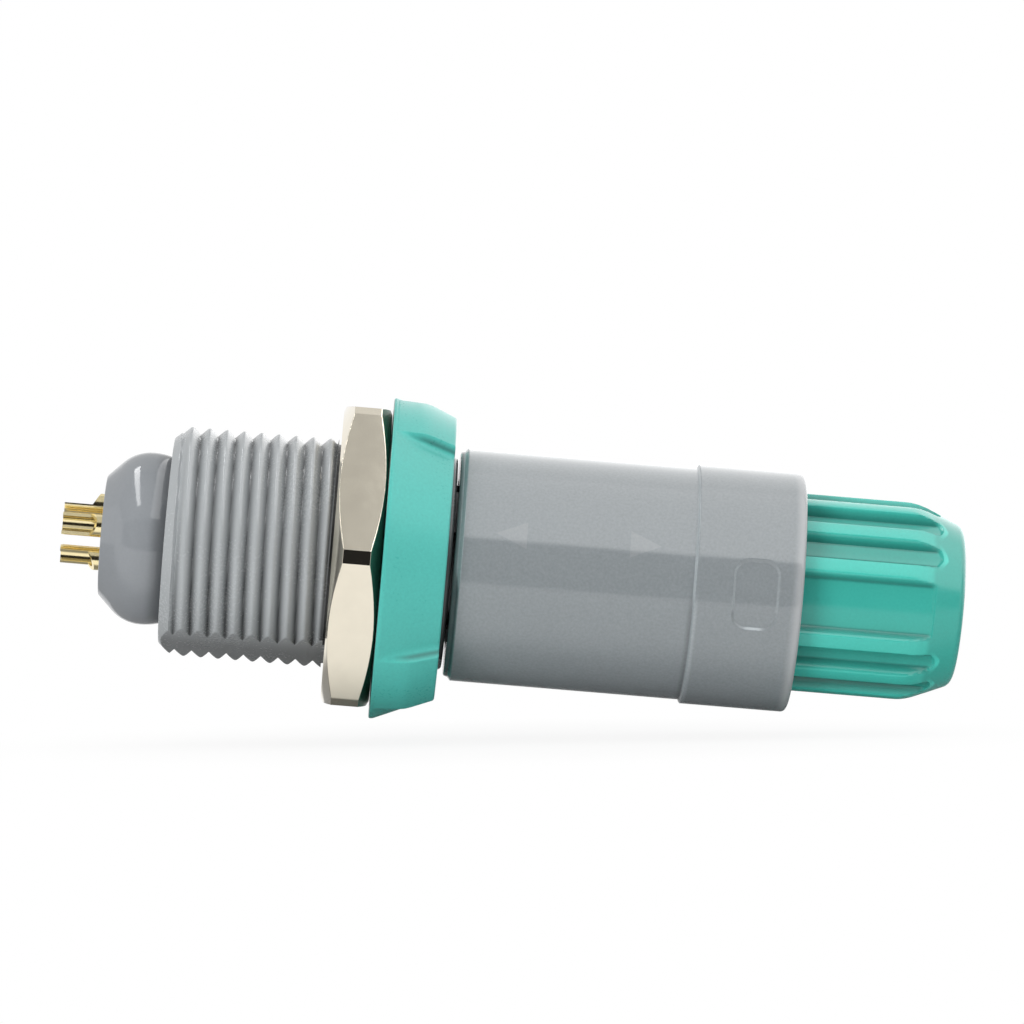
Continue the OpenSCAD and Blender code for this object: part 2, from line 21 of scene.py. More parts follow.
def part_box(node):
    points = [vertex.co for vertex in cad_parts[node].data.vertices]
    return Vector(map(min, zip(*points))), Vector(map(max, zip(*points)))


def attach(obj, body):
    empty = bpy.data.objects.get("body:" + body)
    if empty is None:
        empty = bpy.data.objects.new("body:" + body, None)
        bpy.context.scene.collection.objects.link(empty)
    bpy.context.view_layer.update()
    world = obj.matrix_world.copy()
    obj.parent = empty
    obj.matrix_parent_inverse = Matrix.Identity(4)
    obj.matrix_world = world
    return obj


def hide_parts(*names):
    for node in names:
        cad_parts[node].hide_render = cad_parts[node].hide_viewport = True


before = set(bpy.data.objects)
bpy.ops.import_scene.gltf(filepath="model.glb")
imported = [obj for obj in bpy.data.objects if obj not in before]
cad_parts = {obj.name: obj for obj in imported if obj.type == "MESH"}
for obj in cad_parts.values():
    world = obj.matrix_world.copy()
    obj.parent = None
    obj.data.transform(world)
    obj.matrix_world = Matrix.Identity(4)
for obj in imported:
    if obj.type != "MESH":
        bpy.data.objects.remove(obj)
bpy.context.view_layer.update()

# %% [markdown]
# ## Units, places and clock angles
#
# Blender works in metres and the pieces are a few millimetres across, so sizes are written in millimetres
# and multiplied by `MM`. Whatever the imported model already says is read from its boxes, so a piece made
# here sits where its solid sits. Places round the axis are clock angles: 0 faces the camera and 90 degrees
# is up.

# %% Units and the places that the frame gives
MM = 0.001


def mm(*sizes):
    """Several sizes in millimetres, as metres."""
    return [size * MM for size in sizes]


def shifted(start, places):
    """The same places, counted from a start."""
    return [start + place for place in places]


shell_low, shell_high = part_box("receptacle_shell")
_, ring_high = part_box("ring_nut")
nut_low, nut_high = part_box("hex_nut")
boss_low, boss_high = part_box("rear_insulator")
sleeve_low, sleeve_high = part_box("outer_sleeve")
grip_low, grip_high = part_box("collet_nut")
_, body_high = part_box("plug_body")
_, latch_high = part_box("latch_sleeve")
_, collet_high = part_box("collet")

# %% [markdown]
# ## Wires that can be added and multiplied
#
# A rule such as "the radius minus the depth times the wave" takes a dozen nodes when it is wired by hand.
# This small class wraps a node's socket, so that the rule is written as a sum and Python adds the Math
# nodes. Any other node comes from `node`, which sets the node's own settings first and then its sockets. It
# serves the geometry trees and the materials alike.


# %% A socket that takes part in sums
class Wire:
    """One node socket. Sums add Math nodes, and node() adds any other kind."""

    def __init__(self, tree, socket=None):
        self.tree = tree
        self.socket = socket

    def node(self, kind, settings=None, sockets=None, output=0):
        made = self.tree.nodes.new(kind)
        for name, value in (settings or {}).items():
            setattr(made, name, value)
        for name, value in (sockets or {}).items():
            if isinstance(value, Wire):
                self.tree.links.new(value.socket, made.inputs[name])
            else:
                made.inputs[name].default_value = value
        return Wire(self.tree, made.outputs[output])

    def feed(self, shader, name):
        self.tree.links.new(self.socket, shader.inputs[name])

    def math(self, operation, *others):
        """A Math node whose first value is this wire."""
        return self.node("ShaderNodeMath", {"operation": operation}, dict(enumerate((self, *others))))

    def after(self, operation, other):
        """A Math node whose second value is this wire."""
        return self.node("ShaderNodeMath", {"operation": operation}, {0: other, 1: self})

    def __add__(self, other):
        return self.math("ADD", other)

    def __radd__(self, other):
        return self.after("ADD", other)

    def __sub__(self, other):
        return self.math("SUBTRACT", other)

    def __rsub__(self, other):
        return self.after("SUBTRACT", other)

    def __mul__(self, other):
        return self.math("MULTIPLY", other)

    def __rmul__(self, other):
        return self.after("MULTIPLY", other)

    def __truediv__(self, other):
        return self.math("DIVIDE", other)

    def size(self):
        return self.math("ABSOLUTE")

    def root(self):
        return self.math("SQRT")

    def cosine(self):
        return self.math("COSINE")

    def at_least(self, low):
        return self.math("MAXIMUM", low)

    def at_most(self, high):
        return self.math("MINIMUM", high)

    def soft_least(self, low, blend):
        return self.math("SMOOTH_MAX", low, blend)

    def soft_most(self, high, blend):
        return self.math("SMOOTH_MIN", high, blend)

    def wrapped(self, half):
        """The same angle, brought between minus half and half of a repeat."""
        return self.math("WRAP", -half, half)

    def step(self, low, high):
        """0 below low, 1 above high, and a soft climb between them."""
        limits = {"Value": self, "From Min": low, "From Max": high}
        return self.node("ShaderNodeMapRange", {"interpolation_type": "SMOOTHSTEP"}, limits)

    def band(self, low, full, fading, high):
        """0 below low, 1 from full to fading, 0 above high, with soft climbs between them."""
        return self.step(low, full) * (1 - self.step(fading, high))


print("wires ready")

# %% [markdown]
# ## Half sections with rounded corners
#
# No moulded or plated edge is knife sharp: it carries a small radius, and that radius is what catches the
# light. A half section is written as its few corners, each with its rounding, and `outline` turns the
# rounded corners into arcs. Two more points hold each long straight, so that smooth shading stays flat up
# to the arc. `refine` adds points on the stretches where a rule will move them. A Bevel modifier could
# round the corners too, but one modifier gives one width, and these corners all differ.


# %% Half sections
def outline(corners, steps=5, hold=0.02 * MM):
    """Points of a closed half section, from corners of (place along the axis, radius, rounding)."""
    points = []
    for i, (x, r, rounding) in enumerate(corners):
        corner = Vector((x, r))
        if rounding == 0:
            points.append(corner)
            continue
        back = (Vector(corners[i - 1][:2]) - corner).normalized()
        on = (Vector(corners[(i + 1) % len(corners)][:2]) - corner).normalized()
        half = back.angle(on) / 2
        centre = corner + (back + on).normalized() * rounding / math.sin(half)
        first = corner + back * rounding / math.tan(half) - centre
        last = corner + on * rounding / math.tan(half) - centre
        start = math.atan2(first.y, first.x)
        turn = math.remainder(math.atan2(last.y, last.x) - start, math.tau)
        for k in range(steps + 1):
            angle = start + turn * k / steps
            points.append(centre + rounding * Vector((math.cos(angle), math.sin(angle))))
    held = []
    long_straight = 25 * hold
    for a, b in zip(points, points[1:] + points[:1]):
        held.append(a)
        gap = (b - a).length
        if gap > long_straight:
            held += [a.lerp(b, hold / gap), b.lerp(a, hold / gap)]
    return held


def refine(points, step, low, high, over):
    """The same section with no gap above a step, between two places along the axis and over a radius."""
    fine = []
    slack = 0.001 * MM
    for a, b in zip(points, points[1:] + points[:1]):
        fine.append(a)
        between = low - slack <= min(a.x, b.x) and max(a.x, b.x) <= high + slack
        if between and min(a.y, b.y) > over:
            count = math.ceil((b - a).length / step)
            fine += [a.lerp(b, k / count) for k in range(1, count)]
    return fine


print("a square of 4 corners becomes", len(outline([(0, 1, 0), (1, 1, 0), (1, 2, 0), (0, 2, 0)])), "points")

# %% [markdown]
# ## Spinning a section round the axis
#
# The Screw modifier or bmesh's spin would turn a section into a solid with even steps. Here the steps are a
# list of angles instead, so that a lug or a rib gets fine steps where its edge is and the plain stretches
# stay coarse. Points on the axis fall together, so doubles are merged and the normals are worked out after
# that.


# %% Turned pieces
def clock_angles(count, marks=()):
    """Angles all round, with a finer run across each mark of (middle, half width, count)."""
    angles = [math.tau * k / count for k in range(count)]
    for middle, half, fine in marks:
        angles = [a for a in angles if abs(math.remainder(a - middle, math.tau)) > half]
        angles += [(middle + half * (2 * k / fine - 1)) % math.tau for k in range(fine + 1)]
    return sorted(angles)


def merge_and_orient(mesh):
    """Joins points that fall together and turns all faces outwards."""
    work = bmesh.new()
    work.from_mesh(mesh)
    bmesh.ops.remove_doubles(work, verts=work.verts, dist=0.0001 * MM)
    bmesh.ops.delete(work, geom=[e for e in work.edges if not e.link_faces], context="EDGES")
    bmesh.ops.recalc_face_normals(work, faces=work.faces)
    work.to_mesh(mesh)
    work.free()


def turned(name, points, angles):
    """A new piece: the half section spun round the X axis, with its faces pointing outwards."""
    rows = len(points)
    columns = len(angles)
    corners = [(p.x, -p.y * math.cos(a), p.y * math.sin(a)) for p in points for a in angles]
    faces = []
    for i in range(rows):
        here = i * columns
        after = (i + 1) % rows * columns
        for j in range(columns):
            k = (j + 1) % columns
            faces.append((here + j, here + k, after + k, after + j))
    mesh = bpy.data.meshes.new(name)
    mesh.from_pydata(corners, [], faces)
    merge_and_orient(mesh)
    piece = bpy.data.objects.new(name, mesh)
    bpy.context.scene.collection.objects.link(piece)
    return piece


print("sections can be turned")

# %% [markdown]
# ## One tree shape for every rule
#
# `reshape` builds a Geometry Nodes tree that splits each point into its place along the axis, its radius
# and its clock angle, asks a rule for the new radius, and moves the point there. The rule's sizes are
# inputs of the tree, so they can be tried by hand in the modifier. The result is kept as a plain mesh and
# the modifier goes. Modelling the same forms by hand would need a cut or an extrusion for each tooth and
# rib.


# %% Give every point of a turned piece a new radius
def parts(point):
    """The X, Y and Z of a point."""
    return [point.node("ShaderNodeSeparateXYZ", sockets={0: point}, output=name) for name in "XYZ"]


def axis_places(point):
    """A point's place along the axis, its radius and its clock angle."""
    x, y, z = parts(point)
    return x, (y * y + z * z).root(), z.math("ARCTAN2", 0 - y)


def reshape(piece, rule, material, **sizes):
    """Moves every point of a piece to the radius that the rule gives, and sets its material."""
    tree = bpy.data.node_groups.new(rule.__name__, "GeometryNodeTree")
    tree.interface.new_socket("Geometry", in_out="INPUT", socket_type="NodeSocketGeometry")
    tree.interface.new_socket("Geometry", in_out="OUTPUT", socket_type="NodeSocketGeometry")
    sockets = {}
    for name in sizes:
        made = tree.interface.new_socket(name, in_out="INPUT", socket_type="NodeSocketFloat")
        sockets[name] = made.identifier
    group = tree.nodes.new("NodeGroupInput")
    solid = Wire(tree, group.outputs["Geometry"])
    given = {name: Wire(tree, group.outputs[name]) for name in sizes}

    point = solid.node("GeometryNodeInputPosition")
    x, r, angle = axis_places(point)
    _, y, z = parts(point)
    grow = rule(x, r, angle, **given) / r
    moved = point.node("ShaderNodeCombineXYZ", sockets={"X": x, "Y": y * grow, "Z": z * grow})

    shaped = solid.node("GeometryNodeSetPosition", sockets={"Geometry": solid, "Position": moved})
    real = shaped.node("GeometryNodeRealizeInstances", sockets={"Geometry": shaped})
    dressed = real.node("GeometryNodeSetMaterial", sockets={"Geometry": real, "Material": material})
    dressed.feed(tree.nodes.new("NodeGroupOutput"), "Geometry")

    modifier = piece.modifiers.new(rule.__name__, "NODES")
    modifier.node_group = tree
    for name, value in sizes.items():
        modifier[sockets[name]] = value
    evaluated = piece.evaluated_get(bpy.context.evaluated_depsgraph_get())
    mesh = bpy.data.meshes.new_from_object(evaluated)
    piece.modifiers.clear()
    piece.data = mesh


sharp_from = math.radians(40)


def hand_over(piece, body, slot, *nodes):
    """Shades the finished piece, sets it on its body and lets it stand for its solids."""
    piece.data.shade_smooth()
    piece.data.set_sharp_from_angle(angle=sharp_from)
    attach(piece, body)
    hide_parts(*nodes)
    print(piece.name, "has", len(piece.data.polygons), "faces")


print("rules can be run")

# %% [markdown]
# ## Moulded plastic
#
# The grey and green pieces are moulded in coloured plastic. Close up such a surface is never one flat
# colour: the mould's fine texture speckles it, the resin clouds a little, and the gloss wanders with both.
# Paint or a photo texture could imitate that, but noise on Object coordinates has no seams and stays sharp
# from any distance. The colour is scaled by a Vector Math node, because a Math node would turn it grey.
# `shade` scales it once more where light or shade is painted into the colour: painted shade in creases,
# grooves and corners, and painted highlights on edges and crests.

# %% Plastic
grain_size = 0.16 * MM
cloud_size = 3.5 * MM
grain_gloss = 0.1
cloud_gloss = 0.08


def linear(red, green, blue):
    """A colour seen on a screen, as the three light amounts that a shader takes."""
    shares = [v / 255 for v in (red, green, blue)]
    return [s / 12.92 if s <= 0.04045 else ((s + 0.055) / 1.055) ** 2.4 for s in shares]


def new_material(name, constants):
    material = bpy.data.materials.new(name)
    material.use_nodes = True
    shader = material.node_tree.nodes["Principled BSDF"]
    for socket, value in constants.items():
        shader.inputs[socket].default_value = value
    return material, shader, Wire(material.node_tree)


def object_place(wire):
    """The point being shaded, in the piece's own coordinates."""
    return wire.node("ShaderNodeTexCoord", output="Object")


def noise(place, size, detail=2.0):
    """A cloud of values about 0, with blotches of that size."""
    sockets = {"Vector": place, "Scale": 1 / size, "Detail": detail}
    return place.node("ShaderNodeTexNoise", sockets=sockets, output="Fac") - 0.5


def scaled(colour, amount):
    """A colour made darker or paler by a factor."""
    sockets = {0: colour, "Scale": amount}
    return amount.node("ShaderNodeVectorMath", {"operation": "SCALE"}, sockets, output="Vector")


def relief(shader, height, distance):
    """Fine unevenness that only bends the light."""
    sockets = {"Height": height, "Strength": 1.0, "Distance": distance}
    height.node("ShaderNodeBump", sockets=sockets, output="Normal").feed(shader, "Normal")


def plastic(name, colour, gloss, speckle, cloud, grain_height, ior=1.5):
    """Moulded plastic: its colour, roughness, the shares of grain and clouds, and the grain's height."""
    material, shader, start = new_material(name, {"IOR": ior})
    place = object_place(start)
    grain = noise(place, grain_size)
    clouds = noise(place, cloud_size, detail=3.0)
    tint = scaled(linear(*colour), 1 + grain * speckle + clouds * cloud)
    tint.feed(shader, "Base Color")
    (gloss + grain * grain_gloss + clouds * cloud_gloss).feed(shader, "Roughness")
    relief(shader, grain, grain_height)
    return material, shader, tint


def shade(shader, tint, light):
    """Paints light and shade into the colour: darker where light is below 1 and paler where it is above."""
    scaled(tint, light).feed(shader, "Base Color")


shell_grey, _, _ = plastic("shell_grey", (150, 154, 158), 0.30, 0.12, 0.06, 0.003 * MM)
ivory_plastic, _, _ = plastic("ivory_plastic", (226, 220, 200), 0.38, 0.05, 0.05, 0.002 * MM)
insulator_dark, _, _ = plastic("insulator_dark", (70, 72, 76), 0.40, 0.10, 0.06, 0.002 * MM)
print("plastics:", [m.name for m in (shell_grey, ivory_plastic, insulator_dark)])

# %% [markdown]
# ## Plated metal
#
# The hexagon nut is brass with bright nickel plate, and the contacts are gold plated. Plate is a mirror
# that handling has dulled a little: wide smears change its gloss, and a much finer unevenness softens what
# it mirrors. Scratches could be drawn by hand, but at this size two layers of noise are all that the eye
# can tell.

# %% Nickel and gold
smear_size = 1.2 * MM
smear_tint = 0.1
smear_gloss = 0.06
pit_gloss = 0.04


def plated(name, colour, gloss, pit_size, pit_height):
    """Bright plate: its colour and roughness, and the size and height of its finest unevenness."""
    material, shader, start = new_material(name, {"Metallic": 1.0})
    place = object_place(start)
    smear = noise(place, smear_size, detail=4.0)
    pits = noise(place, pit_size)
    scaled(linear(*colour), 1 + smear * smear_tint).feed(shader, "Base Color")
    (gloss + smear * smear_gloss + pits * pit_gloss).feed(shader, "Roughness")
    relief(shader, pits, pit_height)
    return material


nickel_plate = plated("nickel_plate", (238, 230, 212), 0.07, 0.08 * MM, 0.0001 * MM)
gold_plate = plated("gold_plate", (254, 238, 188), 0.17, 0.05 * MM, 0.0006 * MM)
print("plates:", nickel_plate.name, gold_plate.name)

# %% [markdown]
# ## The rule of the screw thread
#
# The receptacle's shell is a grey tube with a fine right-hand thread outside, a plain nose in front and a
# socket with a latch groove inside. A flat along the thread's lower side keeps the shell from turning in
# its panel. A screw thread could be a profile swept along a helix, but the turns then have to be joined to
# the tube. Here the tube's own surface is pressed in instead: the depth depends on a phase that grows along
# the axis and with the clock angle, so one turn moves the groove on by one pitch. The same rule shaves off
# the flat and presses the keyway into the bore.

# %% Thread, flat and keyway
shell_rear = shell_low.x
thread_r = 7.0 * MM
thread_pitch = 1.056 * MM
thread_depth = 0.52 * MM
thread_end = nut_low.x - 0.15 * MM
thread_start_turn = 0.71
thread_runout = 0.1 * MM
crest_share = 0.14
root_blend = 0.3
flat_angle = math.radians(-72)
flat_reach = 6.41 * MM
flat_end = nut_high.x
flat_wall = 0.02 * MM
keyway_angle = math.radians(15)
keyway_half = 0.7 * MM
keyway_r = 5.6 * MM
keyway_start = -6.0 * MM
keyway_wall = 0.01 * MM
shell_skin = mm(5.7, 5.8)
bore_skin = mm(4.9, 4.95, 5.45, 5.5)
least_share = 0.2


def square_to_flat(angle):
    """The share of a radius at this clock angle that lies square to the flat."""
    return (angle - flat_angle).cosine()


def thread_rule(x, r, angle, pitch, depth, major, end, key_start, flat, flat_stop):
    outside = r.step(*shell_skin)
    turns = x / pitch + angle / math.tau + thread_start_turn
    off_crest = (turns.math("FRACT") * 2 - 1).size()
    cut = (off_crest.soft_least(crest_share, root_blend) - crest_share) * depth
    proud = (r - (major - cut)).at_least(0)
    on_thread = outside * (1 - x.step(end - thread_runout, end))
    threaded = r - proud * on_thread

    over_flat = (threaded - flat / square_to_flat(angle).at_least(least_share)).at_least(0)
    flattened = over_flat * outside * (1 - x.step(flat_stop - flat_wall, flat_stop))

    aside = (angle - keyway_angle).size() * r
    across = 1 - aside.step(keyway_half - keyway_wall, keyway_half)
    keyed = across * x.step(key_start - keyway_wall, key_start)
    in_bore = r.band(*bore_skin)
    return threaded - flattened + (keyway_r - r) * keyed * in_bore


print("thread of %.2f mm pitch on %.1f mm" % (thread_pitch / MM, 2 * thread_r / MM))

# %% [markdown]
# ## The plastic of the thread
#
# Little light gets down into the grooves of a fine thread, so they look darker than the crests, most of all
# on the lower side. A renderer finds part of that by itself. The rest is painted shade in the material: the
# radius tells how deep a point lies in its groove, and the last turn by the nut is painted darker too. The
# flat faces the table and gets a painted shade that grows towards its lower side.

# %% Thread plastic
groove_shade = 0.68
low_groove_shade = 0.18
flat_shade = 0.5
crest_skin = 0.05 * MM
lead_in = mm(0.7, 1.0)
last_turn = mm(-0.4, -0.1)
flat_skin = mm(-0.03, -0.01)
lower_side = (-0.5, 0.3)
flat_turn = (-0.1, 0.6)


def thread_plastic():
    material, shader, tint = plastic("thread_grey", (168, 172, 174), 0.26, 0.06, 0.06, 0.0003 * MM)
    x, height, angle = axis_places(object_place(tint))
    in_groove = 1 - height.step(thread_r - thread_depth, thread_r - crest_skin)
    in_groove = in_groove * x.step(*shifted(shell_rear, lead_in))
    in_groove = in_groove.at_least(x.step(*shifted(thread_end, last_turn)))
    on_flat = (height * square_to_flat(angle)).step(*shifted(flat_reach, flat_skin))
    # painted shade: darker grooves, deepest on the lower side and by the nut, and a darker flat
    groove_painted_shade = groove_shade + low_groove_shade * (1 - angle.step(*lower_side))
    flat_painted_shade = flat_shade * (1 - angle.step(*shifted(flat_angle, flat_turn)))
    shade(shader, tint, 1 - groove_painted_shade * in_groove * (1 - on_flat) - flat_painted_shade * on_flat)
    return material


thread_grey = thread_plastic()
print("plastic:", thread_grey.name)

# %% [markdown]
# ## Receptacle shell
#
# The shell is turned from one half section: the threaded outside, the thinner stretch under the nuts, the
# nose, the socket with its latch groove, and the seats of the two insulators inside. It is refined only
# along the thread, with sixteen points to a pitch, because only there does the surface wave. A finer mesh
# everywhere would be simpler to write and many times as heavy.

# %% Receptacle shell
nose_front = shell_high.x
nose_r = 6.48 * MM
nose_root = ring_high.x - 0.9 * MM
under_nuts_r = 6.68 * MM
socket_r = 5.0 * MM
latch_groove_r = 5.4 * MM
latch_groove = (nose_front - 7.75 * MM, nose_front - 6.25 * MM)
latch_slope = 0.3 * MM
socket_floor = -7.0 * MM
insert_r = 3.4 * MM
insert_step = -8.2 * MM
rear_bore_r = 4.75 * MM
shell_corners = [
    (shell_rear, rear_bore_r, 0.1 * MM),
    (shell_rear, thread_r - 0.75 * MM, 0.12 * MM),
    (shell_rear + 0.85 * MM, thread_r, 0.2 * MM),
    (thread_end, thread_r, 0),
    (thread_end, under_nuts_r, 0),
    (flat_end - flat_wall, under_nuts_r, 0),
    (flat_end, under_nuts_r, 0),
    (nose_root, under_nuts_r, 0),
    (nose_root, nose_r, 0),
    (nose_front, nose_r, 0.2 * MM),
    (nose_front, socket_r, 0.15 * MM),
    (latch_groove[1], socket_r, 0),
    (latch_groove[1] - latch_slope, latch_groove_r, 0),
    (latch_groove[0] + latch_slope, latch_groove_r, 0),
    (latch_groove[0], socket_r, 0),
    (keyway_start, socket_r, 0),
    (keyway_start - keyway_wall, socket_r, 0),
    (socket_floor, socket_r, 0),
    (socket_floor, insert_r, 0),
    (insert_step, insert_r, 0),
    (insert_step, rear_bore_r, 0),
]
points_per_pitch = 16
shell_outside_r = 6.0 * MM
shell_step = thread_pitch / points_per_pitch
shell_section = refine(outline(shell_corners), shell_step, shell_rear, thread_end, shell_outside_r)
keyway_edge = keyway_half / socket_r
shell_marks = [
    (keyway_angle - keyway_edge, 0.004, 4),
    (keyway_angle + keyway_edge, 0.004, 4),
    (flat_angle, math.radians(27), 80),
]
shell = turned("threaded_shell", shell_section, clock_angles(240, shell_marks))
reshape(
    shell,
    thread_rule,
    thread_grey,
    pitch=thread_pitch,
    depth=thread_depth,
    major=thread_r,
    end=thread_end,
    key_start=keyway_start,
    flat=flat_reach,
    flat_stop=flat_end,
)
hand_over(shell, "receptacle", "shell_grey", "receptacle_shell")

# %% [markdown]
# ## Front ring with three lugs
#
# The green ring screws on from the front. Its face is a cone, and three lugs stand out of the cone for a
# wrench. Their tops are nearly flat and their sides drop steeply to a rounded foot, as a mould leaves them.
# Each lug could be a block that is joined to the cone and rounded with a Bevel modifier. Here the ring is
# turned as the bare cone and a rule lifts the lugs: a share that is 1 on a lug and falls away as a fourth
# power beside it, which is steep at the top and flat where it meets the cone.

# %% Lugs
ring_land = 0.25 * MM
lug_count = 3
lug_first = math.radians(67)
lug_half = math.radians(14.5)
lug_fade = math.radians(5)
lug_rise = 0.7 * MM
lug_land = 2.1 * MM
lug_edge_blend = 0.05
lug_land_blend = 0.3
cone_skin = mm(7.7, 8.0)


def off_lug(angle, first):
    """The clock angle to the middle of the nearest lug."""
    return (angle - first).wrapped(math.tau / lug_count / 2).size()


def lug_rule(x, r, angle, first, half, fade, rise, land):
    share = (half + fade - off_lug(angle, first)) / fade
    share = share.soft_most(1, lug_edge_blend).at_least(0)
    lifted = share.math("POWER", 4) * rise
    along = (x - ring_land) / (land - ring_land)
    along = along.soft_most(1, lug_land_blend).at_least(0)
    outside = r.step(*cone_skin)
    return r + lifted * along * outside


print(lug_count, "lugs, each %.0f degrees wide" % math.degrees(2 * lug_half))

# %% [markdown]
# ## The ring's plastic and the ring
#
# The ring is satin green. The sharp crease beside each lug collects shadow, and the rear face, which lies
# against the panel, hardly gets any light. Both are shades in the material, placed by the clock angle and
# by the place along the axis, so they follow the same sizes as the lugs do.

# %% Front ring
ring_front = ring_high.x
ring_r = ring_high.z
ring_bore_r = 6.73 * MM
ring_front_r = 8.25 * MM
rear_shade = 0.7
rear_skin = 0.03 * MM
crease_shade = 0.55
crease_half = math.radians(0.9)
crease_delay = 0.4 * MM


def ring_plastic():
    material, shader, tint = plastic("ring_green", (81, 187, 177), 0.30, 0.20, 0.07, 0.003 * MM, ior=1.42)
    x, _, angle = axis_places(object_place(tint))
    off_edge = (off_lug(angle, lug_first) - lug_half - crease_half).size()
    raised = x.step(ring_land + crease_delay, lug_land + crease_delay)
    crease = (1 - off_edge.step(0, crease_half)) * raised
    shade(shader, tint, 1 - crease_shade * crease - rear_shade * (1 - x.step(0, rear_skin)))
    return material


ring_corners = [
    (0, ring_bore_r, 0.2 * MM),
    (0, ring_r, 0.1 * MM),
    (ring_land, ring_r, 0.5 * MM),
    (ring_front, ring_front_r, 0.22 * MM),
    (ring_front, ring_bore_r, 0.15 * MM),
]
ring_section = refine(outline(ring_corners), 0.12 * MM, 0, ring_front, 8 * MM)
lug_marks = []
for k in range(lug_count):
    lug_middle = lug_first + k * math.tau / lug_count
    for side in (-1, 1):
        lug_marks.append((lug_middle + side * (lug_half + lug_fade / 2), lug_fade * 0.7, 36))
ring = turned("lugged_ring", ring_section, clock_angles(180, lug_marks))
reshape(
    ring,
    lug_rule,
    ring_plastic(),
    first=lug_first,
    half=lug_half,
    fade=lug_fade,
    rise=lug_rise,
    land=lug_land,
)
hand_over(ring, "ring", "ring_green", "ring_nut")

# %% [markdown]
# ## Hexagon nut
#
# A hexagon nut is a slice of hexagon bar whose corners were turned to a cone at both ends, which leaves the
# curved arcs on its flats. A boolean of a turned blank and a hexagon gives the same solid with knife edges.
# The rule does it with rounded ones: each point keeps the smaller of its turned radius and the distance to
# the flat, and a smooth minimum rounds the edge between them as plate would.

# %% Hexagon nut
nut_rear = nut_low.x
nut_front = nut_high.x
nut_corner_r = nut_high.y
nut_flat = nut_high.z
nut_bore_r = 6.73 * MM
nut_mouth_r = 7.03 * MM
nut_mouth = nut_mouth_r - nut_bore_r
nut_face_r = 8.75 * MM
nut_drop = (nut_corner_r - nut_face_r) * math.tan(math.radians(25))
nut_edge = 0.012 * MM
nut_rounding = 0.05 * MM
sides = 6


def hexagon_rule(x, r, angle, flat, edge):
    half_side = math.tau / sides / 2
    to_flat = flat / (angle - half_side).wrapped(half_side).cosine()
    return r.soft_most(to_flat, edge)


nut_corners = [
    (nut_rear, nut_mouth_r, 0),
    (nut_rear, nut_face_r, nut_rounding),
    (nut_rear + nut_drop, nut_corner_r, nut_rounding),
    (nut_front - nut_drop, nut_corner_r, nut_rounding),
    (nut_front, nut_face_r, nut_rounding),
    (nut_front, nut_mouth_r, 0),
    (nut_front - nut_mouth, nut_bore_r, 0),
    (nut_rear + nut_mouth, nut_bore_r, 0),
]
chamfer_step = 0.022 * MM
nut_skin_r = 8.6 * MM
nut_section = refine(outline(nut_corners), chamfer_step, nut_rear, nut_rear + nut_drop, nut_skin_r)
nut_section = refine(nut_section, chamfer_step, nut_front - nut_drop, nut_front, nut_skin_r)
nut_section = refine(nut_section, 0.15 * MM, nut_rear, nut_front, nut_skin_r)
corner_marks = [(k * math.tau / sides, 0.06, 24) for k in range(sides)]
hexagon = turned("hexagon_nut", nut_section, clock_angles(450, corner_marks))
reshape(hexagon, hexagon_rule, nickel_plate, flat=nut_flat, edge=nut_edge)
hand_over(hexagon, "nut", "nickel_plate", "hex_nut")

# %% [markdown]
# ## Rear boss
#
# The boss behind the thread is moulded in a glossier grey, and its side is crowned like a drop, so a bright
# lamp shows on it as a soft streak. It could be a cylinder with a Subdivision Surface modifier. It is
# turned from a section with wide roundings instead, because those can be set in millimetres. The corner
# where it meets the shell is shaded by the material.

# %% Rear boss
boss_rear = boss_low.x
boss_front = boss_high.x
boss_r = boss_high.z
boss_stem_r = 4.7 * MM
boss_crown = shell_rear - 1.2 * MM
boss_bend = boss_crown - 1.08 * MM
corner_shade = 0.55
corner_reach = 1.1 * MM


def boss_plastic():
    material, shader, tint = plastic("boss_grey", (140, 144, 148), 0.09, 0.08, 0.10, 0.0004 * MM)
    x, _, _ = axis_places(object_place(tint))
    shade(shader, tint, 1 - corner_shade * x.step(shell_rear - corner_reach, shell_rear))
    return material


boss_corners = [
    (boss_rear, 0, 0),
    (boss_rear, boss_r - (boss_bend - boss_rear), 0.2 * MM),
    (boss_bend, boss_r, 2.55 * MM),
    (boss_crown + 0.6 * MM, boss_r, 4.0 * MM),
    (shell_rear, boss_r - 0.18 * MM, 0.03 * MM),
    (shell_rear, boss_stem_r, 0),
    (boss_front, boss_stem_r, 0),
    (boss_front, 0, 0),
]
boss = turned("rear_boss", outline(boss_corners, steps=10), clock_angles(160))
boss.data.materials.append(boss_plastic())
print("boss of %.1f mm" % (2 * boss_r / MM))

# %% [markdown]
# ## Holes for the five contacts
#
# The solder cups pass through the boss, so it has five round holes on a circle. A loop sets five drills in
# one mesh, and a Boolean modifier takes them out of the boss, the plainest tool for a few round holes. The
# result is kept as a plain mesh, as for the rules.

# %% Contact holes
contact_count = 5
contact_circle_r = 1.8 * MM
contact_hole_r = 0.75 * MM
drill_mesh = bpy.data.meshes.new("contact_drills")
work = bmesh.new()
for k in range(contact_count):
    hole_angle = math.radians(90) + k * math.tau / contact_count
    centre = Vector((
        (boss_front + boss_rear) / 2,
        -contact_circle_r * math.cos(hole_angle),
        contact_circle_r * math.sin(hole_angle),
    ))
    bmesh.ops.create_cone(
        work,
        cap_ends=True,
        segments=32,
        radius1=contact_hole_r,
        radius2=contact_hole_r,
        depth=2 * (boss_front - boss_rear),
        matrix=Matrix.Translation(centre) @ Matrix.Rotation(math.radians(90), 4, "Y"),
    )
work.to_mesh(drill_mesh)
work.free()
drills = bpy.data.objects.new("contact_drills", drill_mesh)
bpy.context.scene.collection.objects.link(drills)
cut = boss.modifiers.new("Holes", "BOOLEAN")
cut.object = drills
cut.solver = "EXACT"
drilled = bpy.data.meshes.new_from_object(boss.evaluated_get(bpy.context.evaluated_depsgraph_get()))
